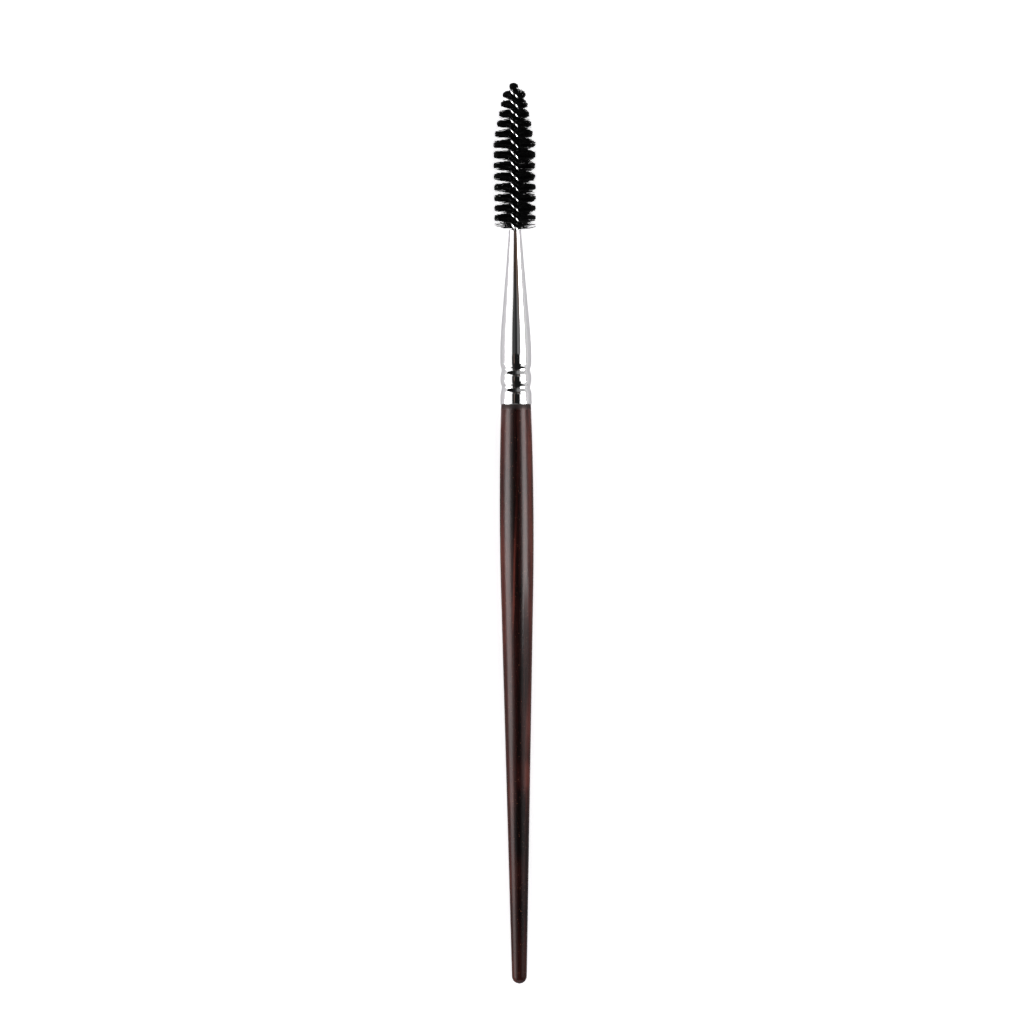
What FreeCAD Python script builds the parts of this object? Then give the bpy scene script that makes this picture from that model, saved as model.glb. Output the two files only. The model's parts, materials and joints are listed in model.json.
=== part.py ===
import FreeCAD, Part
import math
import os

os.makedirs("parts", exist_ok=True)

# An eyebrow brush with a twisted-wire spoolie head, a plated ferrule and a turned wooden handle.
# Lengths are in millimetres. Every piece is first made upright, its axis on local Z, with stations
# counted up from the butt of the handle. At the end the whole brush is laid down on the table.

# Handle: a round butt, a long straight taper, a soft belly and a shoulder with a tenon.
handle_length = 116.0
butt_radius = 1.5
taper_end_station = 76.0
taper_end_radius = 3.17
belly_station = 97.0
belly_radius = 3.375
shoulder_radius = 2.98
tenon_length = 11.0
tenon_chamfer = 1.2
glue_gap = 0.03

# Ferrule: a drawn tube, straight over the tenon with two crimped creases, then a long cone.
ferrule_length = 34.8
ferrule_barrel_radius = 3.14
ferrule_mouth_radius = 1.21
ferrule_wall = 0.3
cone_start_from_shoulder = 12.2
cone_blend_reach = 3.5
first_crease_from_shoulder = 3.34
crease_spacing = 3.5
crease_depth = 0.31
crease_reach = 1.4
crease_bottom_reach = 0.4
ferrule_end_bevel = 0.15
mouth_bevel = 0.08

# Twisted wire: one wire, folded at the tip and twisted left-handed. The turns are a little uneven.
wire_radius = 0.4
wire_lay_radius = 0.46
twist_pitch = 4.062
twist_wander = 0.33
twist_wander_length = 28.4
wire_root_depth = 7.5
wire_step_degrees = 36.0
wire_section_points = 8
fold_above_twist = 0.1

# Bristle head: filaments that cross between the two strands and fan out as two helical blades.
head_radius = 4.28
head_start_gap = 0.25
head_length = 29.2
head_taper_length = 11.65
top_row_below_tip = 2.4
top_row_radius = 2.36
tip_radius = 1.15
straight_tip_length = 1.35
blade_spread_degrees = 17.5
blade_root_reach = 0.92
blade_root_half_width = 0.22
waist_reach = 0.1
waist_half_width = 0.02
rim_edge_share = 0.975
blade_step_degrees = 22.5
fold_pocket_radius = 0.93
fold_pocket_below = 0.12
nose_shares = (0.4, 0.75, 1.0)

# Adhesive: fills the neck of the ferrule round the wire, flush with the mouth.
adhesive_length = 7.0

# Places on the belly that are tried for the one that touches the table.
points_tried_on_belly = 200

# Places along the axis that several pieces share.
mouth_station = handle_length + ferrule_length
head_start = mouth_station + head_start_gap
tip_station = head_start + head_length
top_row_station = tip_station - top_row_below_tip
twist_end = tip_station - straight_tip_length
fold_centre_station = twist_end + fold_above_twist
wire_root = mouth_station - wire_root_depth
ferrule_cone_length = ferrule_length - cone_start_from_shoulder
ferrule_cone_slope = (ferrule_barrel_radius - ferrule_mouth_radius) / ferrule_cone_length

UP = FreeCAD.Vector(0, 0, 1)
ACROSS = FreeCAD.Vector(1, 0, 0)
ORIGIN = FreeCAD.Vector(0, 0, 0)


def on_outline(radius, station):
    """A point of a turned outline, drawn in the local XZ plane."""
    return FreeCAD.Vector(radius, 0, station)


def line(start, end):
    return Part.LineSegment(start, end).toShape()


def arc(start, middle, end):
    return Part.Arc(start, middle, end).toShape()


def turned(edges):
    """Revolve a closed outline about the brush's axis into one solid."""
    face = Part.Face(Part.Wire(edges))
    return face.revolve(ORIGIN, UP, 360)


def rolled_crease(radius, middle):
    """A crimped crease in the outer wall: a round bottom between two longer, rounder shoulders."""
    turn = 2 * math.atan(crease_depth / crease_reach)
    shoulder = (crease_reach - crease_bottom_reach) / math.sin(turn)

    def on_shoulder(angle, side):
        return on_outline(radius - shoulder * (1 - math.cos(angle)),
                          middle + side * (crease_reach - shoulder * math.sin(angle)))

    return [arc(on_shoulder(0, -1), on_shoulder(turn / 2, -1), on_shoulder(turn, -1)),
            arc(on_shoulder(turn, -1), on_outline(radius - crease_depth, middle), on_shoulder(turn, 1)),
            arc(on_shoulder(turn, 1), on_shoulder(turn / 2, 1), on_shoulder(0, 1))]


def pressed_crease(radius, middle):
    """The same crease as it shows inside the barrel and in the wood of the tenon: a plain vee."""
    bottom = on_outline(radius - crease_depth, middle)
    low = on_outline(radius, middle - crease_reach)
    high = on_outline(radius, middle + crease_reach)
    return [line(low, bottom), line(bottom, high)]


def barrel_side(radius, start_station, end_station, crease):
    """A straight side from end to end, with the two creases made by the function given."""
    first = handle_length + first_crease_from_shoulder
    second = first + crease_spacing
    return [
        line(on_outline(radius, start_station), on_outline(radius, first - crease_reach)),
        *crease(radius, first),
        line(on_outline(radius, first + crease_reach), on_outline(radius, second - crease_reach)),
        *crease(radius, second),
        line(on_outline(radius, second + crease_reach), on_outline(radius, end_station)),
    ]


def ferrule_side(inset, bottom_station, top_station, crease):
    """The ferrule's profile from the barrel's end to the mouth, moved inwards by the inset."""
    barrel = ferrule_barrel_radius - inset
    corner_station = handle_length + cone_start_from_shoulder
    lean = math.atan(ferrule_cone_slope)
    blend_start = on_outline(barrel, corner_station - cone_blend_reach)
    blend_end = on_outline(barrel - cone_blend_reach * math.sin(lean),
                           corner_station + cone_blend_reach * math.cos(lean))
    rise = cone_blend_reach * math.tan(lean / 4)
    blend_middle = on_outline(barrel - rise * math.cos(lean / 2), corner_station - rise * math.sin(lean / 2))
    edges = barrel_side(barrel, bottom_station, blend_start.z, crease)
    edges.append(arc(blend_start, blend_middle, blend_end))
    edges.append(line(blend_end, on_outline(cone_radius(top_station) - inset, top_station)))
    return edges


def cone_radius(station):
    """Outer radius of the ferrule's cone at a station."""
    return ferrule_mouth_radius + ferrule_cone_slope * (mouth_station - station)


def belly_arc():
    """The handle's side from the end of the straight taper over the belly to the shoulder."""
    return arc(on_outline(taper_end_radius, taper_end_station), on_outline(belly_radius, belly_station),
               on_outline(shoulder_radius, handle_length))


def handle():
    """Turned hardwood handle in one piece with the tenon that sits in the ferrule."""
    tenon_radius = ferrule_barrel_radius - ferrule_wall - glue_gap
    tenon_end = handle_length + tenon_length
    butt_middle = butt_radius * math.sqrt(0.5)
    edges = [
        arc(on_outline(0, 0), on_outline(butt_middle, butt_radius - butt_middle),
            on_outline(butt_radius, butt_radius)),
        line(on_outline(butt_radius, butt_radius), on_outline(taper_end_radius, taper_end_station)),
        belly_arc(),
        line(on_outline(shoulder_radius, handle_length), on_outline(tenon_radius, handle_length)),
    ]
    edges += barrel_side(tenon_radius, handle_length, tenon_end - tenon_chamfer, pressed_crease)
    chamfered = on_outline(tenon_radius - tenon_chamfer, tenon_end)
    edges.append(line(on_outline(tenon_radius, tenon_end - tenon_chamfer), chamfered))
    edges.append(line(chamfered, on_outline(0, tenon_end)))
    edges.append(line(on_outline(0, tenon_end), on_outline(0, 0)))
    return turned(edges)


def ferrule():
    """Drawn and plated tube with an open bore, its outer edges broken at both ends."""
    barrel = ferrule_barrel_radius
    bore_bottom = on_outline(barrel - ferrule_wall, handle_length)
    bore_top = on_outline(ferrule_mouth_radius - ferrule_wall, mouth_station)
    end_inner = on_outline(barrel - ferrule_end_bevel, handle_length)
    end_outer = on_outline(barrel, handle_length + ferrule_end_bevel)
    mouth_inner = on_outline(ferrule_mouth_radius - mouth_bevel, mouth_station)
    mouth_outer = on_outline(cone_radius(mouth_station - mouth_bevel), mouth_station - mouth_bevel)
    edges = [line(bore_bottom, end_inner), line(end_inner, end_outer)]
    edges += ferrule_side(0, end_outer.z, mouth_outer.z, rolled_crease)
    edges += [line(mouth_outer, mouth_inner), line(mouth_inner, bore_top)]
    edges += ferrule_side(ferrule_wall, handle_length, mouth_station, pressed_crease)
    return turned(Part.__sortEdges__(edges))


def twist_angle(station):
    """Direction of the bristle blades about the axis, in degrees from local X."""
    turning = min(station, twist_end)
    below_top_row = top_row_station - turning
    wander = twist_wander * math.sin(2 * math.pi * below_top_row / twist_wander_length)
    return 360.0 * (below_top_row + wander) / twist_pitch


def stations_by_turn(first, last, step_degrees):
    """Evenly spaced stations, close enough that the twist between two is one step at most."""
    count = math.ceil((twist_angle(first) - twist_angle(last)) / step_degrees)
    return [first + (last - first) * index / count for index in range(count + 1)]


def section_ring(points, station, angle):
    """Points across the axis at a station, turned by an angle in degrees."""
    turn = FreeCAD.Rotation(UP, angle)
    return [turn.multVec(FreeCAD.Vector(x, y, 0)) + UP * station for x, y in points]


def polygon_face(points):
    return Part.Face(Part.makePolygon(points + points[:1]))


def skinned(rings):
    """A solid between rings of points: flat triangles along the side and a flat face at each end."""
    faces = [polygon_face(rings[0]), polygon_face(rings[-1])]
    for low, high in zip(rings, rings[1:]):
        for index in range(len(low)):
            after = (index + 1) % len(low)
            faces.append(polygon_face([low[index], low[after], high[index]]))
            faces.append(polygon_face([low[after], high[after], high[index]]))
    shell = Part.makeShell(faces)
    shell.sewShape()
    return Part.makeSolid(shell)


def strand_section(side):
    """Cut through one leaning strand, square to the brush's axis: a slightly long ellipse."""
    lean = math.atan2(twist_pitch, 2 * math.pi * wire_lay_radius)
    half_length = wire_radius / math.sin(lean)
    points = []
    for index in range(wire_section_points):
        around = 2 * math.pi * index / wire_section_points
        points.append((half_length * math.cos(around),
                       side * wire_lay_radius + wire_radius * math.sin(around)))
    return points


def strand(side, stations):
    """One of the two strands of the twisted wire."""
    section = strand_section(side)
    return skinned([section_ring(section, station, twist_angle(station)) for station in stations])


def wire_core():
    """The folded and twisted wire: two strands joined by the fold at the tip."""
    stations = stations_by_turn(wire_root, twist_end, wire_step_degrees) + [fold_centre_station]
    angle = twist_angle(fold_centre_station)
    fold_section = polygon_face(section_ring(strand_section(1), fold_centre_station, angle))
    fold_axis = FreeCAD.Rotation(UP, angle).multVec(ACROSS)
    fold = fold_section.revolve(UP * fold_centre_station, fold_axis, 180)
    return strand(1, stations).fuse([strand(-1, stations), fold])


def head_envelope(station):
    """Reach of the bristles from the axis: a cylinder, a cone and a small blunt nose."""
    cylinder_end = tip_station - head_taper_length
    if station <= cylinder_end:
        return head_radius
    if station <= top_row_station:
        along = (station - cylinder_end) / (top_row_station - cylinder_end)
        return head_radius + (top_row_radius - head_radius) * along
    along = (station - top_row_station) / (tip_station - top_row_station)
    return tip_radius + (top_row_radius - tip_radius) * math.sqrt(1 - along * along)


def blade_section(reach):
    """Two opposite fans of filaments, joined by the thin waist that the wire grips."""
    spread = math.radians(blade_spread_degrees)
    rim_edge = (reach * rim_edge_share * math.cos(spread), reach * rim_edge_share * math.sin(spread))
    half = [
        (waist_reach, -waist_half_width),
        (blade_root_reach, -blade_root_half_width),
        (rim_edge[0], -rim_edge[1]),
        (reach, 0),
        rim_edge,
        (blade_root_reach, blade_root_half_width),
        (waist_reach, waist_half_width),
    ]
    opposite = [(-x, -y) for x, y in half]
    return half + opposite


def bristles():
    """The bristle head, with a small clear pocket for the wire's fold at the tip."""
    stations = stations_by_turn(head_start, twist_end, blade_step_degrees)
    straight_tip = tip_station - twist_end
    stations += [twist_end + straight_tip * share for share in nose_shares]
    rings = []
    for station in stations:
        rings.append(section_ring(blade_section(head_envelope(station)), station, twist_angle(station)))
    head = skinned(rings)
    pocket_floor = fold_centre_station - fold_pocket_below
    pocket = Part.makeCylinder(fold_pocket_radius, tip_station, UP * pocket_floor)
    return head.cut(pocket)


def adhesive_plug(wire):
    """Cured adhesive in the ferrule's neck, moulded round the twisted wire."""
    bottom = mouth_station - adhesive_length
    inset = ferrule_wall + glue_gap
    edges = [
        line(on_outline(0, bottom), on_outline(cone_radius(bottom) - inset, bottom)),
        line(on_outline(cone_radius(bottom) - inset, bottom),
             on_outline(cone_radius(mouth_station) - inset, mouth_station)),
        line(on_outline(cone_radius(mouth_station) - inset, mouth_station), on_outline(0, mouth_station)),
        line(on_outline(0, mouth_station), on_outline(0, bottom)),
    ]
    return turned(edges).cut(wire)


def rest_tilt():
    """Angle of the lying brush, which touches the table at its head's lower rim and its belly."""
    slopes = []
    for point in belly_arc().discretize(points_tried_on_belly):
        slopes.append((head_radius - point.x) / (head_start - point.z))
    return math.degrees(math.atan(min(slopes)))


def lay_down(pieces):
    """Lay the brush along Y on the table, head towards +Y, centred on the origin."""
    tilt = rest_tilt()
    laid = {}
    for name, shape in pieces.items():
        laid[name] = shape.copy()
        laid[name].rotate(ORIGIN, ACROSS, tilt - 90)
    box = Part.makeCompound(list(laid.values())).optimalBoundingBox(False)
    shift = FreeCAD.Vector(-box.Center.x, -box.Center.y, -box.ZMin)
    for shape in laid.values():
        shape.translate(shift)
    print("rest tilt", round(tilt, 3), "degrees; moved by", shift)
    return laid


def build():
    """Make every piece, lay the brush down and write one file for each."""
    wire = wire_core()
    pieces = {
        "handle": handle(),
        "ferrule": ferrule(),
        "wire_core": wire,
        "bristles": bristles(),
        "adhesive_plug": adhesive_plug(wire),
    }
    for name, shape in lay_down(pieces).items():
        shape.exportStep("parts/" + name + ".step")
        print(name, len(shape.Solids), "solid", round(shape.Volume, 3), "mm3, valid", shape.isValid())


build()
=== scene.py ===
# %% [markdown]
# # An eyebrow brush with a twisted-wire head
# The brush is a turned and lacquered handle, a plated ferrule crimped on it, and a head of black
# nylon filaments gripped by a twisted wire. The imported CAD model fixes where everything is, so the
# first step loads it and notes its box. All the looks are built round it, in metres.
# %% Load the frame
import json
import math
import random

import bpy
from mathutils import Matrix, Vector


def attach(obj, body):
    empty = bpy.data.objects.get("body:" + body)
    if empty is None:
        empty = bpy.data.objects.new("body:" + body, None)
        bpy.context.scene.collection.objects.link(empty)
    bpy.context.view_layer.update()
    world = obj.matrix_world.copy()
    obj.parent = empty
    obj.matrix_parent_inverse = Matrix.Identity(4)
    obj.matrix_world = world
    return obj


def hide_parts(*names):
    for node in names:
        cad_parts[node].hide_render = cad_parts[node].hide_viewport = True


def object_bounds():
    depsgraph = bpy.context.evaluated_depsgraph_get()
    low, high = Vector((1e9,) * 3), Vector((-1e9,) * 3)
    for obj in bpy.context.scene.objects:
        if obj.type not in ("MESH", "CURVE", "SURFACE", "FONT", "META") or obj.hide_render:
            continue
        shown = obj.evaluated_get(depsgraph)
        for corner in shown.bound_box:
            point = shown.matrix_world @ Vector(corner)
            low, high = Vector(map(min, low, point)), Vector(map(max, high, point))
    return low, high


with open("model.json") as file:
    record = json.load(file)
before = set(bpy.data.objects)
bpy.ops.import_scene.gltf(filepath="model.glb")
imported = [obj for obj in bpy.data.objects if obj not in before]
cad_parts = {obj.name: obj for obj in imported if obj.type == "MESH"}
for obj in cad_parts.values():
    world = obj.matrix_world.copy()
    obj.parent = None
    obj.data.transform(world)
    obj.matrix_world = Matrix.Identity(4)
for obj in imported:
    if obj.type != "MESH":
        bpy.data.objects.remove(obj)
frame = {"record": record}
cad_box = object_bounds()
print("CAD box", [[round(value, 5) for value in corner] for corner in cad_box])

# %% [markdown]
# ## Where things are along the brush
# A place is a station along the axis, measured from the butt of the handle, and two short offsets,
# in millimetres. The axis itself comes from the mount on the handle, which the CAD model states, so
# nothing is fitted by eye.
# %% Stations and offsets
MM = 0.001
grip = frame["record"]["mounts"][0]
grip_point = Vector(grip["pos_m"])
along = Vector(grip["axis"]).normalized()
across = Vector((1, 0, 0))
down = along.cross(across)
grip_station = 97.0


def place(x, y, station):
    """A point in metres from offsets across and down, and a station, in millimetres."""
    return grip_point + (across * x + down * y + along * (station - grip_station)) * MM


print("the butt is at", [round(value, 4) for value in place(0, 0, 0)])

# %% [markdown]
# The handle, the ferrule and the head follow each other along the axis. A short stretch of bare
# wire parts the ferrule's mouth from the first bristles.
# %% Lengths
handle_length = 116.0
ferrule_length = 34.8
bare_wire = 0.25
head_length = 29.2
mouth_station = handle_length + ferrule_length
head_start = mouth_station + bare_wire
tip_station = head_start + head_length
print("the tip is at", [round(value, 4) for value in place(0, 0, tip_station)])

# %% [markdown]
# ## The camera
# The brush lies on a table and is seen from straight above, as in a catalogue. A long lens keeps
# its outline free of perspective. The brush leans a little in the picture, so the camera is turned
# by that much, and it looks at the spot that is in the middle of the picture. The Standard view
# transform shows a colour as it is written.
# %% Camera
picture_width = 0.2048
camera_height = 1.0
sensor_width = 36.0
lean_in_picture = math.radians(0.336)
centre_across = -0.93
centre_station = 94.46
picture_centre = place(centre_across, 0, centre_station)

camera_data = bpy.data.cameras.new("catalogue_camera")
camera_data.sensor_width = sensor_width
camera_data.lens = sensor_width * (camera_height - picture_centre.z) / picture_width
camera = bpy.data.objects.new("catalogue_camera", camera_data)
bpy.context.scene.collection.objects.link(camera)
camera.location = (picture_centre.x, picture_centre.y, camera_height)
camera.rotation_euler = (0, 0, -lean_in_picture)
bpy.context.scene.camera = camera
bpy.context.scene.view_settings.view_transform = "Standard"
print("lens", round(camera_data.lens, 1), "mm")

# %% [markdown]
# ## Shader maths that reads like sums
# A material is a graph of nodes. Written link by link it is hard to read, so a small class wraps
# an output socket and lets it stand in a sum. Each sign in the sum adds one Math node.
# %% A socket in a sum
class Signal:
    """An output socket that can stand in a sum."""

    def __init__(self, recipe, socket):
        self.recipe = recipe
        self.socket = socket

    def maths(self, operation, first, second):
        """A Math node on two values."""
        return self.recipe.node("ShaderNodeMath", {"operation": operation}, {0: first, 1: second})

    def __add__(self, other):
        return self.maths("ADD", self, other)

    def __radd__(self, other):
        return self.maths("ADD", other, self)

    def __sub__(self, other):
        return self.maths("SUBTRACT", self, other)

    def __rsub__(self, other):
        return self.maths("SUBTRACT", other, self)

    def __mul__(self, other):
        return self.maths("MULTIPLY", self, other)

    def __rmul__(self, other):
        return self.maths("MULTIPLY", other, self)

    def __abs__(self):
        return self.recipe.node("ShaderNodeMath", {"operation": "ABSOLUTE"}, {0: self})


# %% [markdown]
# One method adds any node, from its type, its settings and what its sockets get, which is a value
# or another node's signal. The other methods name the small groups that come back often: a mix of
# two colours, coordinates in millimetres, stretched noise and a soft step between two values.
# %% A recipe for a material
MIX_FACTOR, MIX_FIRST, MIX_SECOND, MIX_RESULT = 0, 6, 7, 2


def set_stops(ramp, stops):
    """Give a colour ramp its stops, as places and colours."""
    while len(ramp.elements) < len(stops):
        ramp.elements.new(1.0)
    for element, (position, colour) in zip(ramp.elements, stops):
        element.position = position
        element.color = (*colour, 1.0)


class Recipe:
    """A node tree that is filled by one method."""

    def __init__(self, tree):
        self.tree = tree

    def node(self, kind, settings=None, inputs=None, output=0):
        """Add a node of a kind, and return the signal of one of its outputs."""
        made = self.tree.nodes.new(kind)
        for key, value in (settings or {}).items():
            if key == "stops":
                set_stops(made.color_ramp, value)
            else:
                setattr(made, key, value)
        for key, value in (inputs or {}).items():
            self.feed(made.inputs[key], value)
        return Signal(self, made.outputs[output]) if made.outputs else None

    def feed(self, socket, value):
        """Link a signal to a socket, or set the socket to a plain value."""
        if isinstance(value, Signal):
            self.tree.links.new(value.socket, socket)
        else:
            socket.default_value = value

    def mixed(self, factor, first, second):
        """One colour turning into another."""
        return self.node("ShaderNodeMix", {"data_type": "RGBA"},
                         {MIX_FACTOR: factor, MIX_FIRST: first, MIX_SECOND: second}, MIX_RESULT)

    def stretched(self, stretch):
        """Object coordinates in millimetres, scaled by a factor for each axis."""
        spot = self.node("ShaderNodeTexCoord", output="Object")
        scale = tuple(factor / MM for factor in stretch)
        return self.node("ShaderNodeVectorMath", {"operation": "MULTIPLY"}, {0: spot, 1: scale})

    def noise(self, stretch, detail=2.0, roughness=0.5, distortion=0.0):
        """Cloudy values around a half, stretched along the brush or round it."""
        inputs = {"Vector": self.stretched(stretch), "Scale": 1.0, "Detail": detail,
                  "Roughness": roughness, "Distortion": distortion}
        return self.node("ShaderNodeTexNoise", None, inputs)

    def between(self, signal, low, high):
        """Nothing below low, all above high, and smooth between."""
        return self.node("ShaderNodeMapRange", {"interpolation_type": "SMOOTHSTEP"},
                         {"Value": signal, "From Min": low, "From Max": high})

    def bump(self, strength, depth_mm, height):
        """A relief that tilts the light on a surface, without moving the mesh."""
        return self.node("ShaderNodeBump", None,
                         {"Strength": strength, "Distance": depth_mm * MM, "Height": height})


# %% [markdown]
# Every finish starts from Blender's standard surface. What is the same all over it, such as how
# strongly its lacquer mirrors, is set on the surface itself, and its recipe adds what varies.
# %% A new finish
def new_finish(name, fixed):
    """A new material with the fixed values of its surface, its recipe and its surface."""
    material = bpy.data.materials.new(name)
    material.use_nodes = True
    surface = material.node_tree.nodes["Principled BSDF"]
    for socket, value in fixed.items():
        surface.inputs[socket].default_value = value
    return material, Recipe(material.node_tree), surface


def tell_nodes(material):
    """Print how many nodes a finish has."""
    print(material.name, "has", len(material.node_tree.nodes), "nodes")


# %% [markdown]
# ## Turned shapes
# The handle was turned on a lathe, and the ferrule was drawn and then crimped between rollers, so
# both are surfaces of revolution. A curve with a Screw modifier could make them too, but a list of
# outline points, each a radius and a station, keeps every measure in sight. Arcs are worked out
# from three points that lie on them.
# %% Arcs and straight runs
def arc_points(start, middle, end, count):
    """Points on the circle through three points, from the first to the last."""
    (ax, ay), (bx, by), (cx, cy) = start, middle, end
    twice_area = 2 * (ax * (by - cy) + bx * (cy - ay) + cx * (ay - by))
    squares = [ax * ax + ay * ay, bx * bx + by * by, cx * cx + cy * cy]
    ux = (squares[0] * (by - cy) + squares[1] * (cy - ay) + squares[2] * (ay - by)) / twice_area
    uy = (squares[0] * (cx - bx) + squares[1] * (ax - cx) + squares[2] * (bx - ax)) / twice_area
    radius = math.hypot(ax - ux, ay - uy)
    first = math.atan2(ay - uy, ax - ux)
    turn = math.remainder(math.atan2(cy - uy, cx - ux) - first, 2 * math.pi)
    return [(ux + radius * math.cos(first + turn * step / count),
             uy + radius * math.sin(first + turn * step / count)) for step in range(count + 1)]


def straight_points(start, end, count):
    """Points on a straight run, from its start to its end."""
    return [(start[0] + (end[0] - start[0]) * step / count,
             start[1] + (end[1] - start[1]) * step / count) for step in range(count + 1)]


quarter_middle = arc_points((1, 0), (0.6, 0.8), (0, 1), count=2)[1]
print("the middle of a quarter circle:", [round(value, 3) for value in quarter_middle])

# %% [markdown]
# The outline is swung round the axis in fine steps. A point on the axis closes an end, and the
# faces that meet there are triangles.
# %% Swing an outline round the axis
on_axis = 1e-6


def turned(outline, sides):
    """Points and faces of an outline of (radius, station) swung round the axis."""
    points = []
    rings = []
    for radius, station in outline:
        if radius < on_axis:
            rings.append([len(points)])
            points.append(place(0, 0, station))
            continue
        rings.append(list(range(len(points), len(points) + sides)))
        for side in range(sides):
            angle = 2 * math.pi * side / sides
            points.append(place(radius * math.cos(angle), radius * math.sin(angle), station))
    faces = []
    for low, high in zip(rings, rings[1:]):
        for side in range(sides):
            after = (side + 1) % sides
            corners = [low[side % len(low)], low[after % len(low)],
                       high[after % len(high)], high[side % len(high)]]
            faces.append([corner for position, corner in enumerate(corners)
                          if corner != corners[position - 1]])
    return points, faces


points, faces = turned([(0, 0), (1, 1), (0, 2)], sides=6)
print("a six-sided spindle has", len(points), "points and", len(faces), "faces")

# %% [markdown]
# A finished piece is a smooth mesh, and its edges stay crisp where it turns sharply. It rides with the
# brush.
# %% Add a piece
def add_piece(name, points, faces, finish, sharp_degrees=40):
    """A smooth mesh piece that rides with the brush."""
    mesh = bpy.data.meshes.new(name)
    mesh.from_pydata(points, [], faces)
    mesh.shade_smooth()
    if sharp_degrees:
        mesh.set_sharp_from_angle(angle=math.radians(sharp_degrees))
    mesh.materials.append(finish)
    piece = bpy.data.objects.new(name, mesh)
    bpy.context.scene.collection.objects.link(piece)
    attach(piece, "root")
    print(name, sum(len(face) - 2 for face in faces), "triangles")
    return piece


# %% [markdown]
# ## Lacquered dark hardwood
# The handle is a dense, nearly black wood with red figure that runs the length of it, under a
# satin lacquer. A photograph wrapped round it would bring its own light and a seam, so the wood
# grows from noise, which runs through the stick as real layers do. Noise serves five times: as
# broad layers, clouds, fine fibres, short pores and bright specks.
# %% Noise in the wood
wood, recipe, surface = new_finish("lacquered_hardwood", {"IOR": 1.36})
broad = recipe.noise((0.5, 0.022, 0.5), detail=3.0, roughness=0.55, distortion=0.6)
clouds = recipe.noise((0.25, 0.07, 0.25), detail=2.0)
fibres = recipe.noise((5.0, 0.12, 5.0), detail=3.0, roughness=0.6)
pores = recipe.noise((9.0, 0.9, 9.0), detail=1.0)
specks = recipe.noise((5.0, 3.0, 5.0), detail=0.0)
tell_nodes(wood)

# %% [markdown]
# A dark band stands upright in the middle of the stick, with redder wood on both sides. It is partly a
# growth layer and partly painted shade on the top of the handle, which gets little light, and the
# redder outer sides are painted light from the soft boxes. The distance from that band sets how red the
# wood is. The band crosses the stick at a slight slant, and the broad noise makes it wander.
# %% The dark band, partly painted shade, and the painted side light
layer_slant = 0.011
layer_wander = 2.0
spot = recipe.stretched((1, 1, 1))
sideways = recipe.node("ShaderNodeSeparateXYZ", None, {0: spot}, "X")
lengthways = recipe.node("ShaderNodeSeparateXYZ", None, {0: spot}, "Y")
# Painted shade: the band along the top is darker than the grain alone. Painted light: the outer sides
# get redder.
from_grain_and_shade_band = abs(sideways + lengthways * layer_slant + broad * layer_wander - layer_wander / 2)
painted_side_light = recipe.between(abs(sideways), 1.9, 3.1)
redness_and_painted_light = recipe.between(from_grain_and_shade_band, 0.2, 1.7) * 0.17 + painted_side_light * 0.04
figure = redness_and_painted_light + broad * 0.4 + clouds * 0.3 + fibres * 0.22 - 0.07
tell_nodes(wood)

# %% [markdown]
# A few marks make this stick the one that it is: a long red streak down the middle, a lighter
# patch where a branch once was, and dark zones. Each is a soft, long spot that is added to the
# figure or taken from it, and the broad noise bends its sides so that it looks grown.
# %% Streak, patch and dark zones
spot_wander = 0.9
figure_spots = [
    # Its name, its place across and along, half its width and length, slant and strength
    ("red streak", -0.45, -6.0, 0.5, 17.0, 0.04, 0.12),
    ("heart of the streak", -0.56, -10.5, 0.26, 11.5, 0.03, 0.2),
    ("lighter patch", 0.9, -48.2, 1.9, 4.5, 0, 0.1),
    ("right side of the patch", 1.9, -48.2, 0.6, 3.4, 0, 0.06),
    ("red on the right", 2.9, 15.0, 0.7, 13.0, 0, 0.07),
    ("red on the left", -2.7, -12.0, 0.8, 16.0, 0, 0.06),
    ("red butt", 0, -84, 4, 24, 0, 0.03),
    ("dark belly", -1.2, 7.0, 0.8, 15.0, 0.03, -0.09),
    ("dark beyond the patch", 0.6, -59.0, 2.6, 9.0, 0, -0.07),
    ("dark before the patch", 1.5, -26.0, 1.3, 14.0, 0, -0.12),
    ("dark middle of the taper", -0.4, -70.0, 0.6, 30.0, 0, -0.07),
]


def long_spot(x, y, half_width, half_length, slant):
    """A soft spot in the figure, in millimetres: one in its middle and nothing past its edge."""
    past_middle = lengthways - y
    wander = broad * spot_wander - spot_wander / 2
    past_line = (sideways + wander - past_middle * slant - x) * (1 / half_width)
    share = past_middle * (1 / half_length)
    return recipe.between(1 - (share * share + past_line * past_line), 0.0, 1.0)


for name, x, y, half_width, half_length, slant, strength in figure_spots:
    figure = figure + long_spot(x, y, half_width, half_length, slant) * strength
print(len(figure_spots), "spots in the figure")

# %% [markdown]
# A colour ramp turns the figure into wood colours, from nearly black to red brown. Pores are darker and
# specks are lighter. Where the handle enters the ferrule, the ferrule's edge shades a narrow band, so
# that band is painted dark as its shadow and the lacquer there is made rougher.
# %% Wood colours
heartwood_colours = [
    (0.36, (0.005, 0.0022, 0.002)),
    (0.43, (0.019, 0.0034, 0.0027)),
    (0.52, (0.036, 0.0066, 0.0048)),
    (0.60, (0.074, 0.0145, 0.0102)),
    (0.70, (0.135, 0.03, 0.02)),
]
pore_colour = (0.004, 0.0025, 0.002, 1)
speck_colour = (0.3, 0.11, 0.06, 1)
ferrule_shadow_colour = (0.008, 0.003, 0.0025, 1)
shadow_starts, shadow_full = 24.5, 25.4

heartwood = recipe.node("ShaderNodeValToRGB", {"stops": heartwood_colours}, {0: figure})
in_pore = recipe.between(pores, 0.63, 0.72)
pored = recipe.mixed(in_pore * 0.6, heartwood, pore_colour)
flecked = recipe.mixed(recipe.between(specks, 0.78, 0.82) * 0.5, pored, speck_colour)
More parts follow.
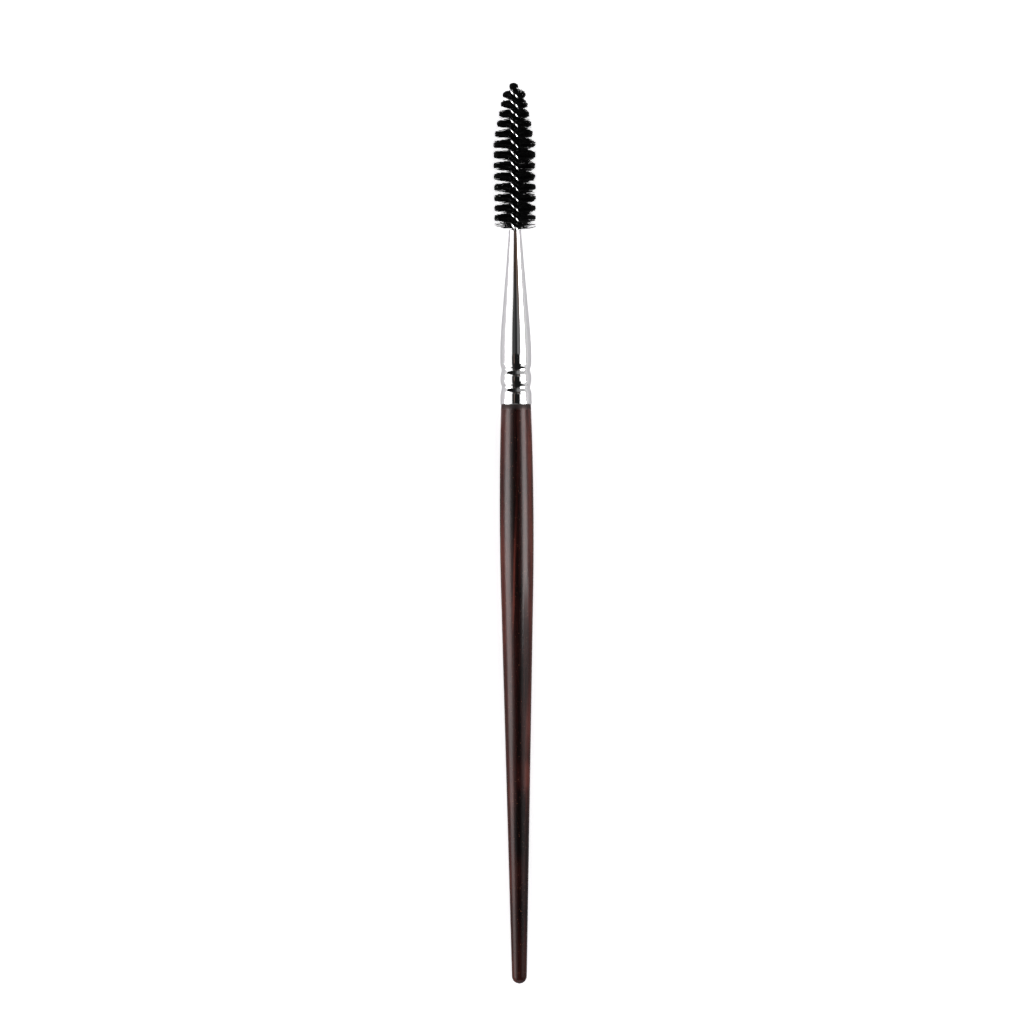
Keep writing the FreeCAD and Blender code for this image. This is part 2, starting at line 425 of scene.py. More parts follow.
# Painted shadow: the ferrule's edge shades a narrow band of the wood below it, so that band is darker
# and duller.
ferrule_shadow = recipe.between(lengthways, shadow_starts, shadow_full)
recipe.feed(surface.inputs["Base Color"], recipe.mixed(ferrule_shadow * 0.75, flecked, ferrule_shadow_colour))
tell_nodes(wood)

# %% [markdown]
# The lacquer was brushed on and rubbed down, so it has a faint ripple, and it sinks a little into
# the pores. The ripple breaks up the two long highlights. It could be modelled as geometry, but it
# is only hundredths of a millimetre deep, so a bump does it.
# %% Satin lacquer
ripple_depth = 0.02
ripple = recipe.noise((3.2, 1.6, 3.2), detail=2.0)
recipe.feed(surface.inputs["Roughness"], 0.17 + ripple * 0.07 + clouds * 0.07 + ferrule_shadow * 0.35)
relief = ripple * 0.6 + fibres * 0.3 - in_pore * 0.4
recipe.feed(surface.inputs["Normal"], recipe.bump(0.35, ripple_depth, relief))
tell_nodes(wood)

# %% [markdown]
# ## The handle
# The turner cut a round butt, a long straight taper, a soft belly and a shoulder, and then a thin
# tenon that goes into the ferrule. The outline follows those cuts. The tenon is hidden, but the
# piece stands for the whole handle, so it has its tenon too.
# %% Turn the handle
# The middle of a rounded corner lies this share of the radius inside each of its sides.
round_share = 1 - math.sqrt(0.5)
# An arc that ends at the axis stops this far from it, in millimetres.
near_axis = 0.001
butt_radius = 1.5
taper_end = (3.17, 76.0)
belly = (3.375, 97.0)
shoulder_radius = 2.98
shoulder_round = 0.08
tenon_radius = 2.81
tenon_length = 11.0
tenon_chamfer = 1.2
handle_sides = 96

tenon_end = handle_length + tenon_length
shoulder_edge = (shoulder_radius, handle_length - shoulder_round)
shoulder_inset = shoulder_round * round_share
handle_outline = [(0, 0)]
handle_outline += arc_points(
    (near_axis, 0),
    (butt_radius * math.sqrt(0.5), butt_radius * round_share),
    (butt_radius, butt_radius), count=14)
handle_outline += straight_points((butt_radius, butt_radius), taper_end, count=60)[1:]
handle_outline += arc_points(taper_end, belly, shoulder_edge, count=40)[1:]
handle_outline += arc_points(
    shoulder_edge,
    (shoulder_radius - shoulder_inset, handle_length - shoulder_inset),
    (shoulder_radius - shoulder_round, handle_length), count=8)[1:]
handle_outline += [
    (tenon_radius, handle_length),
    (tenon_radius, tenon_end - tenon_chamfer),
    (tenon_radius - tenon_chamfer, tenon_end),
    (0, tenon_end),
]
points, faces = turned(handle_outline, handle_sides)
handle = add_piece("turned_handle", points, faces, wood)
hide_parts("handle")

# %% [markdown]
# ## Plated ferrule
# The ferrule is a thin brass tube, plated bright and polished. A polished metal shows nothing of
# its own but what stands round it, so its finish is nearly plain and the studio does the rest.
# Rolling left faint rings, which are a very shallow bump, and a haze varies how sharply it mirrors.
# %% Ferrule finish
plating, recipe, surface = new_finish(
    "bright_plating", {"Base Color": (0.93, 0.925, 0.93, 1), "Metallic": 1.0})
ring_depth = 0.002
rings = recipe.noise((0.25, 7.0, 0.25), detail=2.0)
haze = recipe.noise((0.8, 0.5, 0.8), detail=2.0)
recipe.feed(surface.inputs["Roughness"], 0.03 + haze * 0.05)
recipe.feed(surface.inputs["Normal"], recipe.bump(0.1, ring_depth, rings))
tell_nodes(plating)

# %% [markdown]
# The ferrule is a short straight barrel and a long cone. An arc blends the two, and the cone runs
# straight to the mouth. The wall is thin all the way.
# %% Barrel and cone
barrel_radius = 3.14
barrel_length = 12.2
mouth_radius = 1.21
wall = 0.3
cone_blend = 3.5
cone_start = handle_length + barrel_length
cone_slope = (barrel_radius - mouth_radius) / (mouth_station - cone_start)
lean = math.atan(cone_slope)


def cone_radius(station):
    """Outer radius of the cone at a station."""
    return mouth_radius + cone_slope * (mouth_station - station)


blend_start = (barrel_radius, cone_start - cone_blend)
blend_end = (barrel_radius - cone_blend * math.sin(lean), cone_start + cone_blend * math.cos(lean))
blend_rise = cone_blend * math.tan(lean / 4)
blend_middle = (barrel_radius - blend_rise * math.cos(lean / 2),
                cone_start - blend_rise * math.sin(lean / 2))
print("the cone leans", round(math.degrees(lean), 2), "degrees")

# %% [markdown]
# Two crimped creases hold the ferrule on the tenon, with a soft bead between them. A roller
# presses each one in, so it is three arcs: over a shoulder, round the bottom and over the next
# shoulder. Arcs that meet without a corner give the small dark wedges in the reflections.
# %% Creases
first_crease = handle_length + 3.34
crease_spacing = 3.5
crease_depth = 0.31
crease_reach = 1.4
crease_bottom_reach = 0.4
shoulder_steps = 12
bottom_steps = 14


def crease_points(middle):
    """The outline over one crease: a shoulder, the round bottom and a shoulder."""
    turn = 2 * math.atan(crease_depth / crease_reach)
    shoulder = (crease_reach - crease_bottom_reach) / math.sin(turn)

    def on_shoulder(step, side):
        angle = turn * step / shoulder_steps
        return (barrel_radius - shoulder * (1 - math.cos(angle)),
                middle + side * (crease_reach - shoulder * math.sin(angle)))

    falling = [on_shoulder(step, -1) for step in range(shoulder_steps + 1)]
    rising = [on_shoulder(step, 1) for step in range(shoulder_steps, -1, -1)]
    lowest = (barrel_radius - crease_depth, middle)
    bottom = arc_points(falling[-1], lowest, rising[0], bottom_steps)
    return falling + bottom[1:-1] + rising


print("points over one crease:", len(crease_points(first_crease)))

# %% [markdown]
# The outline goes up the outside, from the rounded lower edge over the creases and the cone to the
# rolled mouth, and comes back down inside, one wall's thickness in. That makes a closed tube.
# %% Build the ferrule
end_round = 0.1
mouth_round = 0.09
bore_bend = 144.0
ferrule_sides = 128

end_inset = end_round * round_share
mouth_inset = mouth_round * round_share
mouth_side = cone_radius(mouth_station - mouth_round)
mouth_edge = (mouth_side, mouth_station - mouth_round)
lower_edge = (barrel_radius - wall, handle_length)
ferrule_outline = [lower_edge]
ferrule_outline += arc_points(
    (barrel_radius - end_round, handle_length),
    (barrel_radius - end_inset, handle_length + end_inset),
    (barrel_radius, handle_length + end_round), count=8)
ferrule_outline += crease_points(first_crease)
ferrule_outline += crease_points(first_crease + crease_spacing)
ferrule_outline += arc_points(blend_start, blend_middle, blend_end, count=12)
ferrule_outline += straight_points(blend_end, mouth_edge, count=24)[1:]
ferrule_outline += arc_points(
    mouth_edge,
    (mouth_side - mouth_inset, mouth_station - mouth_inset),
    (mouth_side - mouth_round, mouth_station), count=6)[1:]
ferrule_outline += [
    (mouth_radius - wall, mouth_station),
    (cone_radius(bore_bend) - wall, bore_bend),
    (blend_end[0] - wall, blend_end[1]),
    (barrel_radius - wall - crease_depth, first_crease),
    lower_edge,
]
points, faces = turned(ferrule_outline, ferrule_sides)
ferrule = add_piece("crimped_ferrule", points, faces, plating)
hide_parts("ferrule")

# %% [markdown]
# ## The twist of the head
# The two strands of the wire and the rows of bristles share one twist. It is left-handed, with
# about four millimetres to a turn, and a little uneven, as a twisting machine leaves it. It stops
# just below the tip. One function gives it, so the wire and the bristles can't drift apart.
# %% Twist
twist_pitch = 4.062
twist_wander = 0.33
twist_wander_length = 28.4
top_row = tip_station - 2.4
twist_end = tip_station - 1.35


def twist_angle(station):
    """Direction of the bristle rows about the axis, in radians."""
    below = top_row - min(station, twist_end)
    wander = twist_wander * math.sin(2 * math.pi * below / twist_wander_length)
    return 2 * math.pi * (below + wander) / twist_pitch


print("turns in the head:", round(twist_angle(head_start) / (2 * math.pi), 2))

# %% [markdown]
# After twisting, the bristles are trimmed to a cylinder that narrows to a blunt nose. The trim is
# a radius for each station: straight, then a taper, then a quarter of an ellipse.
# %% Trim
head_radius = 4.28
top_row_radius = 2.36
tip_radius = 1.15
taper_length = 11.65


def trimmed_radius(station):
    """How far the trimmed bristles reach from the axis."""
    taper_start = tip_station - taper_length
    if station <= taper_start:
        return head_radius
    if station <= top_row:
        share = (station - taper_start) / (top_row - taper_start)
        return head_radius + (top_row_radius - head_radius) * share
    share = min(1.0, (station - top_row) / (tip_station - top_row))
    return tip_radius + (top_row_radius - tip_radius) * math.sqrt(1 - share * share)


print("trimmed to", head_radius, "mm, and", trimmed_radius(top_row), "at the top row")

# %% [markdown]
# ## Twisted wire
# The core is bright drawn steel. Drawing it through a die leaves fine lines along it, too fine to
# see one by one, so they only vary how sharp its highlights are.
# %% Wire finish
steel, recipe, surface = new_finish(
    "drawn_steel", {"Base Color": (0.88, 0.88, 0.89, 1), "Metallic": 1.0})
drawing_lines = recipe.noise((3.0, 1.0, 3.0), detail=2.0)
recipe.feed(surface.inputs["Roughness"], 0.08 + drawing_lines * 0.08)
tell_nodes(steel)

# %% [markdown]
# One wire is folded in half, the filaments are laid between its legs, and the legs are twisted.
# The path does the same: it goes up one leg, over the fold and down the other leg. Two separate
# spirals would be easier, but the fold shows at the tip.
# %% Wire path
lay_radius = 0.46
wire_root = mouth_station - 7.5
fold_centre = twist_end + 0.1
leg_steps = 260
fold_steps = 10


def leg(side, step):
    """A point on one leg of the wire, in millimetres: across, down, station."""
    station = wire_root + (fold_centre - wire_root) * step / leg_steps
    angle = twist_angle(station)
    return Vector((-side * lay_radius * math.sin(angle), side * lay_radius * math.cos(angle), station))


def fold_over():
    """The half circle that joins the legs at the tip."""
    angle = twist_angle(fold_centre)
    outward = Vector((-math.sin(angle), math.cos(angle), 0)) * lay_radius
    rise = Vector((0, 0, lay_radius))
    middle = Vector((0, 0, fold_centre))
    turns = [math.pi * step / fold_steps for step in range(1, fold_steps)]
    return [middle + outward * math.cos(turn) + rise * math.sin(turn) for turn in turns]


up_leg = [leg(1, step) for step in range(leg_steps + 1)]
down_leg = [leg(-1, step) for step in range(leg_steps, -1, -1)]
wire_path = up_leg + fold_over() + down_leg
print("the wire's path has", len(wire_path), "points")

# %% [markdown]
# A round section is carried along a path to make a tube. At each point the section is turned as
# little as possible from the one before, so the tube doesn't wring itself. A bevelled curve would
# do the same, but this way serves the filaments too.
# %% Tube along a path
def tube(path, radii, sides):
    """Points and faces of a round tube along a path in millimetres, closed at both ends."""
    points = []
    faces = []
    normal = None
    for index, spot in enumerate(path):
        ahead = path[min(index + 1, len(path) - 1)] - path[max(index - 1, 0)]
        ahead.normalize()
        if normal is None:
            normal = ahead.orthogonal().normalized()
        normal = (normal - ahead * normal.dot(ahead)).normalized()
        beside = ahead.cross(normal)
        for side in range(sides):
            angle = 2 * math.pi * side / sides
            rim = spot + (normal * math.cos(angle) + beside * math.sin(angle)) * radii[index]
            points.append(place(*rim))
    for ring in range(len(path) - 1):
        for side in range(sides):
            after = (side + 1) % sides
            low = ring * sides
            faces.append([low + side, low + after, low + sides + after, low + sides + side])
    faces.append(list(range(sides))[::-1])
    faces.append([(len(path) - 1) * sides + side for side in range(sides)])
    return points, faces


wire_radius = 0.4
wire_sides = 18
points, faces = tube(wire_path, [wire_radius] * len(wire_path), wire_sides)
wire = add_piece("twisted_wire", points, faces, steel)
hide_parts("wire_core")

# %% [markdown]
# ## Nylon filaments
# The bristles are black nylon, a little glossy. So many of them stand together that the light is
# lost between them, and the head looks almost black. The finish is very dark for that reason, with
# a soft sheen and a slight change of tone from tuft to tuft.
# %% Bristle finish
nylon, recipe, surface = new_finish("black_nylon", {"Specular IOR Level": 0.08})
darkest_nylon = (0.001, 0.001, 0.001, 1)
palest_nylon = (0.003, 0.0028, 0.0026, 1)
tone = recipe.noise((3.0, 3.0, 3.0), detail=1.0)
recipe.feed(surface.inputs["Base Color"], recipe.mixed(tone, darkest_nylon, palest_nylon))
recipe.feed(surface.inputs["Roughness"], 0.42 + tone * 0.15)
tell_nodes(nylon)

# %% [markdown]
# Each filament crosses between the legs of the wire and stands out on both sides, so half of it is
# a thin tapered tube from the axis to the rim. Blender's hair could draw them faster, but the head
# has to be a real mesh. Neighbours cling together in tufts, which share a lean and a length. The
# tufts are drawn first, from a fixed seed, so that every run grows the same brush.
# %% Filaments and tufts
filaments_per_mm = 115
filament_radius = 0.055
tip_taper = 0.9
filament_sides = 3
filament_rings = 5
tuft_width = 0.35
tufts_a_side = 200
draw = random.Random(7)
tufts = [(draw.gauss(0, 0.035), abs(draw.gauss(0, 0.05))) for _ in range(2 * tufts_a_side)]


def tuft_at(station, side):
    """The lean and the shortness of the tuft at a station on one side, in millimetres."""
    return tufts[int(station / tuft_width + side * tufts_a_side) % len(tufts)]


print("most that a tuft leans:", round(max(abs(tuft[0]) for tuft in tufts), 3), "mm")

# %% [markdown]
# The filaments leave the wire in one turning sheet and then splay along the brush. Seen from
# above, the rows on the left run out to full ends, and those on the right swell in the middle and
# end thin, because the machine twists the wire one way. Rightness says where a filament points,
# from 0 on the left to 1 on the right, and nose is 1 at the tip of the head.
# %% Thickness of the sheet
left_root, left_splay, left_splay_lost = 0.27, 0.29, 0.17
right_root, right_swell, right_swell_gained = 0.26, 0.62, 0.3
end_thickness, end_change = 0.1, 0.12
quick_wave, slow_wave = 1.7, 0.63


def sheet_half_thickness(share, rightness, nose, fullness):
    """Half the thickness of the sheet of filaments, from the wire to the rim."""
    left = left_root + (left_splay - left_splay_lost * nose) * share * share
    swell = (right_swell + right_swell_gained * nose) * share * (1 - share)
    right = right_root + swell + fullness * share * share
    return left + (right - left) * rightness


def end_fullness(station):
    """Half the thickness of a right-hand row at its end, which changes from row to row."""
    return end_thickness + end_change * math.sin(quick_wave * station) * math.sin(slow_wave * station)


print("half the sheet at a left rim:", round(sheet_half_thickness(1, 0, 0, 0), 2), "mm")

# %% [markdown]
# No filament lies just as its neighbours do. Most lean with their tuft, a few stray, and those at
# the foot splay upwards off the ferrule, where many are also short, because the trimming knife
# can't reach them.
# %% Lean of a filament
own_lean = 0.02
stray_chance, more_on_right = 0.01, 0.03
stray_lean = (0.15, 0.6)
foot_height = 1.1
foot_rise = 0.5


def leaning(station, tuft_lean, rightness):
    """How far a filament's end lies towards the tip from its root."""
    lean = tuft_lean + draw.gauss(0, own_lean)
    if draw.random() < stray_chance + more_on_right * rightness:
        lean += draw.choice((-1, 1)) * draw.uniform(*stray_lean)
    if station < head_start + foot_height:
        lean += foot_rise * (1 - (station - head_start) / foot_height)
    return lean


print("a stray leans by up to", stray_lean[1], "mm")

# %% [markdown]
# The knife leaves the ends a little uneven, and more so on the right. The outer layers of the
# sheet are cut shorter, which rounds the ends of the rows, and the lower rows on the left are cut
# a little closer.
# %% Reach of a filament
longest_reach = 4.25
tuft_cut, tuft_cut_right = 0.6, 1.6
uneven, uneven_right = 0.02, 0.05
edge_cut, edge_cut_spared = 0.22, 0.14
close_cut, close_cut_station, close_cut_fade = 0.1, 163.0, 3.0
short_chance, short_share = 0.05, (0.85, 0.97)
foot_short_chance, foot_short_share = 0.8, (0.2, 0.75)


def reaching(station, lean, tuft_short, layer, rightness):
    """How far a filament reaches from the axis once it is trimmed."""
    reach = trimmed_radius(station + lean) - tuft_short * (tuft_cut + tuft_cut_right * rightness)
    reach -= abs(draw.gauss(0, uneven + uneven_right * rightness))
    reach -= (edge_cut - edge_cut_spared * rightness) * layer ** 4
    low_down = max(0.0, min(1.0, (close_cut_station - station) / close_cut_fade))
    reach = min(longest_reach, reach) - low_down * close_cut * (1 - rightness)
    if draw.random() < short_chance:
        reach *= draw.uniform(*short_share)
    if station < head_start + foot_height and draw.random() < foot_short_chance:
        reach *= draw.uniform(*foot_short_share)
    return reach


print("no filament reaches past", longest_reach, "mm")

# %% [markdown]
# Lean, reach and thickness together make the path of one filament. The table flattens the head
# where they touch, so a point that would go through it, or over the top of the CAD box, is moved
# back in height.
# %% Path of a filament
own_bend = 0.04


def held_in_height(spot):
    """The spot, or the nearest one over or under it that is clear of the table and the CAD top."""
    height = place(*spot).z / MM
    allowed = min(max(height, filament_radius), cad_box[1].z / MM - filament_radius)
    return spot + Vector((0, height - allowed, 0))


def half_filament(station, side):
    """Path of one half of a filament, from the axis out to the rim."""
    angle = twist_angle(station) + math.pi * side
    rightness = (1 + math.cos(angle)) / 2
    tuft_lean, tuft_short = tuft_at(station, side)
    layer = draw.uniform(-1, 1)
    lean = leaning(station, tuft_lean, rightness)
    nose = max(0.0, 1 - (tip_station - station) / taper_length)
    fullness = end_fullness(station)
    bend = draw.gauss(0, own_bend)
    reach = reaching(station, lean, tuft_short, layer, rightness)
    path = []
    for ring in range(filament_rings):
        share = ring / (filament_rings - 1)
        out = share * reach
        turn = angle + bend * share * share
        spread = layer * sheet_half_thickness(share, rightness, nose, fullness)
        along_brush = station + spread + lean * share * share
        path.append(held_in_height(Vector((out * math.cos(turn), out * math.sin(turn), along_brush))))
    return path


print("filaments stay under", round(cad_box[1].z / MM, 2), "mm over the table")

# %% [markdown]
# The fold of the wire presses the last filaments up into a small round tuft over the tip. They
# start beside the wire, swell outwards and end under a low dome.
# %% Tuft at the tip
tip_filaments = 220
tip_tuft_radius = 0.78
tip_root_depth = (0.1, 0.9)
tip_gap, tip_dome, tip_uneven = 0.01, 0.45, 0.15
beside_wire, tip_swell, tip_tilt = 0.35, 0.3, 0.1


def tip_filament():
    """Path of one filament of the tuft over the tip."""
    angle = draw.uniform(0, 2 * math.pi)
    start = fold_centre - draw.uniform(*tip_root_depth)
    out = tip_tuft_radius * math.sqrt(draw.random())
    top = tip_station - tip_gap - tip_dome * out * out
    rise = top - draw.uniform(0, tip_uneven) - start
    path = []
    for ring in range(filament_rings):
        share = ring / (filament_rings - 1)
        swell = beside_wire + (out - beside_wire) * share + tip_swell * math.sin(math.pi * share)
        path.append(Vector((swell * math.cos(angle) - tip_tilt * share, swell * math.sin(angle),
                            start + rise * share)))
    return path


print("the tuft over the tip is", 2 * tip_tuft_radius, "mm wide")

# %% [markdown]
# The filaments are laid from the foot to the tip, evenly but for a small shake, and both halves of
# each are drawn. All of them join into one mesh, as the head is one piece of the brush.
# %% Make the bristle head
foot_start = 0.25
paths = []
head_count = int((twist_end - head_start - foot_start) * filaments_per_mm)
for index in range(head_count):
    station = head_start + foot_start + (index + draw.uniform(-0.5, 0.5)) / filaments_per_mm
    for side in (0, 1):
        paths.append(half_filament(station, side))
paths += [tip_filament() for _ in range(tip_filaments)]

last_ring = filament_rings - 1
radii = [filament_radius * (1 - (1 - tip_taper) * ring / last_ring) for ring in range(filament_rings)]
points, faces = [], []
for path in paths:
    tube_points, tube_faces = tube(path, radii, filament_sides)
    offset = len(points)
    points += tube_points
    faces += [[corner + offset for corner in face] for face in tube_faces]
bristles = add_piece("nylon_bristles", points, faces, nylon, sharp_degrees=0)
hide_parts("bristles")
print(len(paths), "filament halves")

# %% [markdown]
# ## Adhesive at the mouth
# The wire is glued into the ferrule's neck, and the glue shows as a thin brown ring. It is clear
# and amber in thin places and darker in thick ones, so noise mixes two browns. The shape is a
# turned plug that fills the neck and ends in a low dome, which the wire stands through.
# %% Adhesive
glue, recipe, surface = new_finish("cured_adhesive", {"Roughness": 0.25, "IOR": 1.5})
thick_glue = (0.05, 0.014, 0.007, 1)
thin_glue = (0.16, 0.05, 0.025, 1)
amber = recipe.noise((2.0, 2.0, 2.0), detail=2.0)
recipe.feed(surface.inputs["Base Color"], recipe.mixed(amber, thick_glue, thin_glue))
tell_nodes(glue)

glue_bottom = mouth_station - 7.0
glue_gap = 0.03
glue_sides = 64
dome_edge = (mouth_radius - wall - glue_gap, mouth_station - 0.04)
dome_shoulder = (0.5, mouth_station + 0.1)
dome_top = mouth_station + 0.14
glue_outline = [(0, glue_bottom), (cone_radius(glue_bottom) - wall - glue_gap, glue_bottom), dome_edge]
glue_outline += arc_points(dome_edge, dome_shoulder, (near_axis, dome_top), count=8)[1:]
glue_outline.append((0, dome_top))
points, faces = turned(glue_outline, glue_sides)
adhesive = add_piece("adhesive_bead", points, faces, glue)
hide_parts("adhesive_plug")

# %% [markdown]
# ## The table
# The table is plain pale paper. Only the camera sees it lifted to white, so it still keeps the
# brush's shadow, and the metal still shows a grey table along its sides.
# %% Table
def level_corners(low, high, height):
    """Corners of a level rectangle, from its lowest and highest x and y in metres."""
    (x0, y0), (x1, y1) = low, high
    return [(x, y, height) for x, y in ((x0, y0), (x1, y0), (x1, y1), (x0, y1))]


def flat_panel(name, corners, finish):
    """A flat card or floor that is part of the studio, from its corners in metres."""
    mesh = bpy.data.meshes.new(name)
    mesh.from_pydata(corners, [], [list(range(len(corners)))])
    mesh.materials.append(finish)
    panel = bpy.data.objects.new(name, mesh)
    bpy.context.scene.collection.objects.link(panel)
    return panel


paper, recipe, surface = new_finish("pale_table", {
    "Base Color": (0.88, 0.87, 0.89, 1), "Roughness": 0.9,
    "Specular IOR Level": 0.1, "Emission Color": (1, 1, 1, 1)})
lift_to_white = 0.63
camera_ray = recipe.node("ShaderNodeLightPath", output="Is Camera Ray")
recipe.feed(surface.inputs["Emission Strength"], camera_ray * lift_to_white)
flat_panel("table", level_corners((-4, -4), (4, 4), 0), paper)
tell_nodes(paper)

# %% [markdown]
# ## The room
# The room is a plain white one. It gives only a dim light of its own, so that the soft boxes shape
# the brush, but it is white where the camera looks at it or the metal and the lacquer mirror it.
# %% Room
room_light = 0.42
white_wall = 1.05
world = bpy.data.worlds.new("studio_air")
world.use_nodes = True
bpy.context.scene.world = world
recipe = Recipe(world.node_tree)
sky = world.node_tree.nodes["Background"]
sky.inputs["Color"].default_value = (1, 1, 1, 1)
rays = [recipe.node("ShaderNodeLightPath", output="Is %s Ray" % kind)
        for kind in ("Camera", "Glossy", "Transmission")]
seen = recipe.node("ShaderNodeMath", {"operation": "MINIMUM"}, {0: rays[0] + rays[1] + rays[2], 1: 1.0})
recipe.feed(sky.inputs["Strength"], room_light + seen * (white_wall - room_light))
print("the room gives", room_light, "and looks", white_wall)

# %% [markdown]
# ## Soft boxes
# Long soft boxes stand low on either side of the brush. The power of a box follows from the
# brightness of its face and its area. Two of them give the light and are hidden from reflections.
# %% Boxes that light
box_distance = 0.7


def soft_box(name, side, from_vertical, to_vertical, brightness, near_end, far_end, for_shine):
    """A long area lamp on one side, between two angles from the vertical, in degrees."""
    middle = math.radians((from_vertical + to_vertical) / 2)
    width = box_distance * math.radians(to_vertical - from_vertical)
    lamp = bpy.data.lights.new(name, "AREA")
    lamp.shape = "RECTANGLE"
    lamp.size = width
    lamp.size_y = far_end - near_end
    lamp.energy = brightness * math.pi * width * lamp.size_y
    stand = bpy.data.objects.new(name, lamp)
    bpy.context.scene.collection.objects.link(stand)
    stand.location = (side * box_distance * math.sin(middle), (near_end + far_end) / 2,
                      box_distance * math.cos(middle))
    stand.rotation_euler = (0, side * middle, 0)
    stand.visible_camera = False
    stand.visible_diffuse = not for_shine
    stand.visible_glossy = for_shine
    print(name, round(lamp.energy, 2), "W")


soft_box("left_light", -1, 56, 88, 3.0, -0.4, 0.3, for_shine=False)
soft_box("right_light", 1, 50, 78, 3.5, -0.15, 0.3, for_shine=False)

# %% [markdown]
# The others are seen only in reflections. They draw a line of light along each side of the handle
# and fill the ferrule with white. The line on the left gets dimmer towards the butt, so its boxes
# do too. Boxes that overlap don't add up in a mirror, which sees only the nearest, so they stand
# end to end.
# %% Boxes that shine
shine_boxes = [
    # Its name, its side, its two angles, its brightness and its two ends along the brush
    ("left_shine_1", -1, 46, 89, 1.9, -0.45, -0.115),
    ("left_shine_2", -1, 46, 89, 3.4, -0.115, -0.0765),
    ("left_shine_3", -1, 46, 89, 5.6, -0.0765, -0.042),
    ("left_shine_4", -1, 45, 89, 10.2, -0.042, 0.006),
    ("left_shine_5", -1, 47, 81, 5.4, 0.006, 0.3),
    ("right_shine_1", 1, 40, 78, 8.8, -0.12, -0.003),
    ("right_shine_2", 1, 40, 72, 6.2, -0.003, 0.3),
]
for shine_box in shine_boxes:
    soft_box(*shine_box, for_shine=True)

# %% [markdown]
# ## Dark cards
# The metal needs something dark to show, or it looks like paper. Photographers hang black cards
# for that, and only reflections see these. In each part of the ferrule one card gives the dark line
# down the middle, and its neighbours set how each side of the line fades. Further back and further
# forward they end the white in the crimped creases.
# %% Cards overhead
card_height = 0.6
near_edge, handle_ends = -1.2, -0.03
cone_from, neck_from, end_from, far_edge = 0.058, 0.165, 0.21, 1.2
white = (1, 1, 1)
rosy = (1.0, 0.72, 0.6)
brown = (1.0, 0.68, 0.52)


def card(name, corners, brightness, tint=white):
    """A card seen only in reflections, with an even brightness."""
    material = bpy.data.materials.new(name)
    material.use_nodes = True
    material.node_tree.nodes.clear()
    glowing = Recipe(material.node_tree)
    glow = glowing.node("ShaderNodeEmission", None, {"Color": (*tint, 1), "Strength": brightness})
    glowing.node("ShaderNodeOutputMaterial", None, {0: glow})
    panel = flat_panel(name, corners, material)
    panel.visible_camera = False
    panel.visible_diffuse = False
    panel.visible_shadow = False
    panel.visible_transmission = False


overhead_cards = [
    # Its name, its lowest and highest corner, its brightness and its tint
    ("over_barrel_left", (-0.32, near_edge), (-0.14, cone_from), 0.03, white),
    ("over_barrel_line", (-0.14, handle_ends), (-0.11, cone_from), 0.28, rosy),
    ("over_handle_line", (-0.14, near_edge), (-0.11, handle_ends), 0.04, rosy),
    ("over_barrel_right", (-0.11, near_edge), (0.32, cone_from), 0.009, white),
    ("over_butt_right", (0.32, near_edge), (0.5, -0.075), 0.01, white),
    ("over_cone_left", (-0.3, cone_from), (-0.03, neck_from), 0.055, white),
    ("over_cone_line", (-0.03, cone_from), (0.12, neck_from), 0.02, white),
    ("over_cone_right", (0.12, cone_from), (0.42, neck_from), 0.16, white),
    ("over_neck_left", (-0.24, neck_from), (0.02, end_from), 0.045, brown),
    ("over_neck_line", (0.02, neck_from), (0.1, end_from), 0.02, brown),
    ("over_neck_right", (0.1, neck_from), (0.42, end_from), 0.14, brown),
    ("over_end_left", (-0.3, end_from), (-0.03, far_edge), 0.015, white),
    ("over_end_gap", (-0.03, end_from), (0.4, 0.31), 0.012, white),
    ("over_end_line", (-0.03, 0.31), (0.1, far_edge), 0.06, white),
    ("over_end_right", (0.1, 0.31), (0.4, far_edge), 0.2, white),
]
for name, low, high, brightness, tint in overhead_cards:
    card(name, level_corners(low, high, card_height), brightness, tint)
print(len(overhead_cards), "cards overhead")

# %% [markdown]
# Flags are cards with slanting edges. A crease mirrors the room along the brush as well as across
# it, so the slant of a flag's edge becomes the slant of a dark wedge in the crease.
# %% Flags
flag_height = 0.61
flags = [
    ("far_left_flag", [(-0.2, 0.233), (-0.2, 1.2), (-16, 16), (-16, 6.8)], 0.01),
    ("near_right_flag", [(0.15, -0.204), (16, -9.7), (16, -16), (0.15, -1.2)], 0.01),
    ("far_right_flag", [(0.3, 0.3), (16, 6.8), (16, 16), (0.3, 1.2)], 0.42),
    ("near_left_flag", [(-0.33, -0.45), (-0.72, -0.9), (-0.72, -1.3), (-0.33, -1.3)], 0.01),
]
for name, corners, brightness in flags:
    card(name, [(x, y, flag_height) for x, y in corners], brightness)
print(len(flags), "flags")

# %% [markdown]
# The sides of the ferrule turn softly from white to the grey of the table. Upright cards far out
# on both sides do that: a pale haze on the left, and a greyer horizon below a haze on the right.
# %% Horizon and haze
horizon_near, horizon_far = -1.8, 3


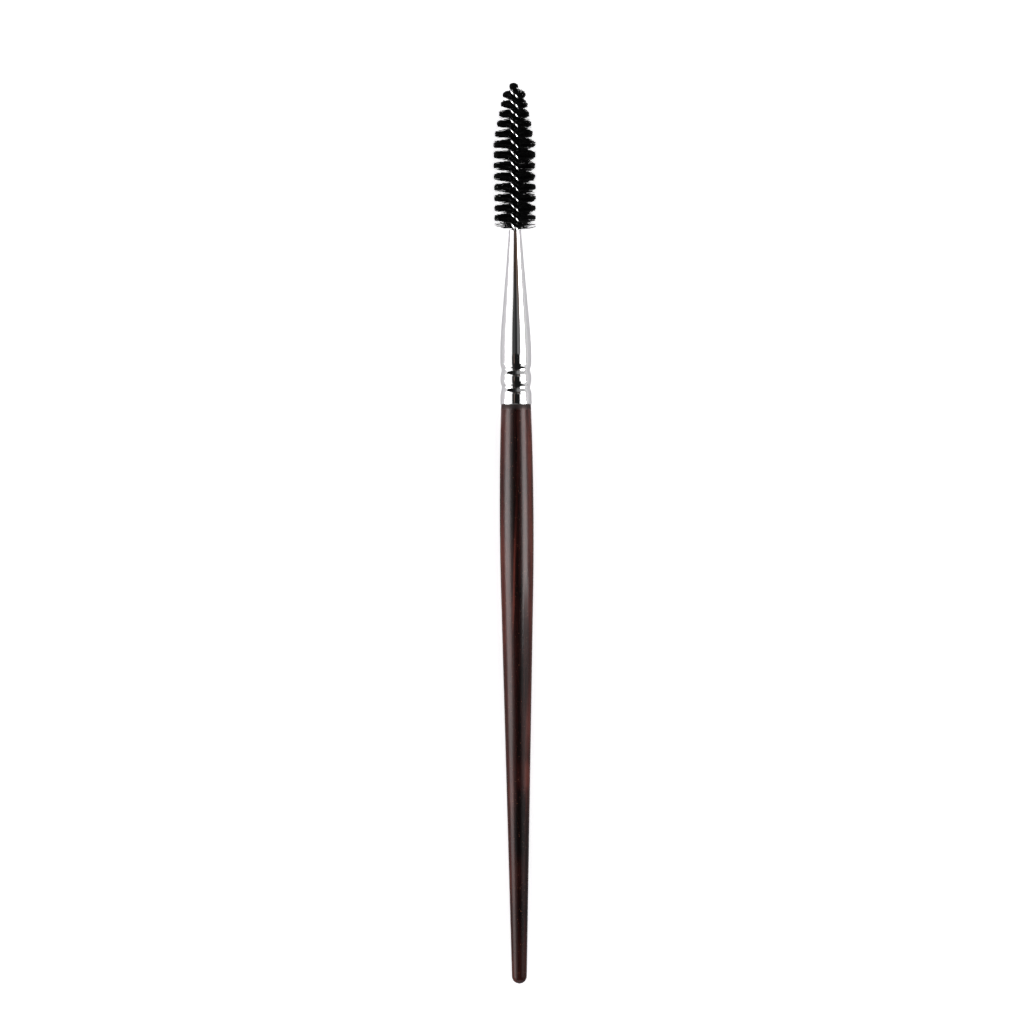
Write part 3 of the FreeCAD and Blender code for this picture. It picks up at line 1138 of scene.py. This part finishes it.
def upright(name, x, bottom, top, brightness):
    """An upright card far out at one side, between two heights in metres."""
    edges = ((horizon_near, bottom), (horizon_far, bottom), (horizon_far, top), (horizon_near, top))
    card(name, [(x, y, z) for y, z in edges], brightness)


upright("right_horizon", 3, 0, 0.75, 0.62)
upright("right_haze", 3, 0.75, 1.2, 0.88)
upright("left_haze", -3, 0, 0.6, 0.88)
print("each is", horizon_far - horizon_near, "m long")

# %% [markdown]
# The line of light on the right dies away towards the butt. Small cards stand close beside the
# handle there and hide the soft box from it step by step, each dimmer than the one before. They
# are so close that the ferrule doesn't see them. One more on the left trims the inner side of the
# line near the butt.
# %% Close cards
close_by = 0.025
past_butt = -20
right_steps = [
    # The station where it starts, its brightness, its bottom and its top
    (79.3, 7.0, 0.007, 0.021),
    (76.7, 2.2, 0.007, 0.026),
    (71.7, 1.0, 0.006, 0.03),
    (64.7, 0.65, 0, 0.04),
    (42.7, 0.3, 0, 0.04),
    (20.7, 0.25, 0, 0.04),
]


def close_card(name, side, from_station, to_station, bottom, top, brightness):
    """An upright card beside the handle, between two stations and two heights in metres."""
    near, far = [place(0, 0, station).y for station in (from_station, to_station)]
    edges = ((near, bottom), (far, bottom), (far, top), (near, top))
    card(name, [(side * close_by, y, z) for y, z in edges], brightness)


step_ends = [step[0] for step in right_steps[1:]] + [past_butt]
for (start, brightness, bottom, top), end in zip(right_steps, step_ends):
    close_card("right_step_%d" % start, 1, start, end, bottom, top, brightness)
close_card("left_inner_card", -1, 46, past_butt, 0.024, 0.06, 0.5)
print(len(right_steps) + 1, "close cards")

# %% [markdown]
# The lowest sides of the handle mirror the table right beside it, which would edge the dark wood
# with grey. A dim card lies on the table on either side and takes its place in the mirror.
# %% Ground cards
ground_height = 0.0002
ground_inner, ground_outer = 0.0045, 0.024
ground_station = 112
ground_brightness = 0.25
near, far = [place(0, 0, station).y for station in (ground_station, past_butt)]
for name, side in (("left_ground_card", -1), ("right_ground_card", 1)):
    edges = ((ground_inner, near), (ground_outer, near), (ground_outer, far), (ground_inner, far))
    card(name, [(side * x, y, ground_height) for x, y in edges], ground_brightness)
print("ground cards from", round(far, 3), "to", round(near, 3), "m")
